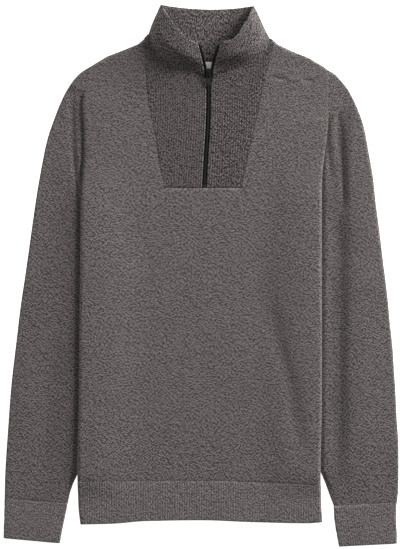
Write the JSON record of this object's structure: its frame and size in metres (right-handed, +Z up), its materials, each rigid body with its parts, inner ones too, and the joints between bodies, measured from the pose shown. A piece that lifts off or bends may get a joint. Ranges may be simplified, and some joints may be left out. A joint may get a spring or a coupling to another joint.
{
  "type": "quarter zip sweater",
  "caption": "Knitted sweater with a rib stand collar and a short front zip, laid flat with its front up, its sides folded under and its sleeves straight down beside the body.",
  "frame": {"origin": "middle of the outline, on the surface that the sweater lies on", "axes": "+Y from the hem to the collar, +X towards the sleeve at the right as seen from above with the collar at the top, +Z up out of the front"},
  "size_m": [0.5858, 0.8019, 0.0266],
  "materials": {
    "front_knit": "matte",
    "back_knit": "matte",
    "sleeve_left_knit": "matte",
    "sleeve_right_knit": "matte",
    "hem_front_rib": "matte",
    "hem_back_rib": "matte",
    "cuff_left_rib": "matte",
    "cuff_right_rib": "matte",
    "collar_rib": "matte",
    "inset_left_rib": "matte",
    "inset_right_rib": "matte",
    "zip_tape_left": "matte",
    "zip_tape_right": "matte",
    "zip_chain": "satin",
    "zip_stop": "satin",
    "zip_slider": "satin",
    "pull_tab": "satin",
    "neck_label": "matte"
  },
  "bodies": {
    "sweater": {"front_panel": "front_knit", "back_panel": "back_knit", "sleeve_left": "sleeve_left_knit", "sleeve_right": "sleeve_right_knit", "hem_front": "hem_front_rib", "hem_back": "hem_back_rib", "cuff_left": "cuff_left_rib", "cuff_right": "cuff_right_rib", "collar": "collar_rib", "inset_left": "inset_left_rib", "inset_right": "inset_right_rib", "zip_tape_left": "zip_tape_left", "zip_tape_right": "zip_tape_right", "zip_chain": "zip_chain", "zip_bottom_stop": "zip_stop", "zip_slider": "zip_slider", "neck_label": "neck_label"},
    "tab": {"pull_tab": "pull_tab"}
  },
  "joints": [
    {"name": "pull_tab_hinge", "type": "hinge", "parent": "sweater", "child": "tab", "pos_m": [0.01095, 0.29761, 0.01193], "axis": [-1, 0, 0], "range_deg": [0, 150]}
  ]
}
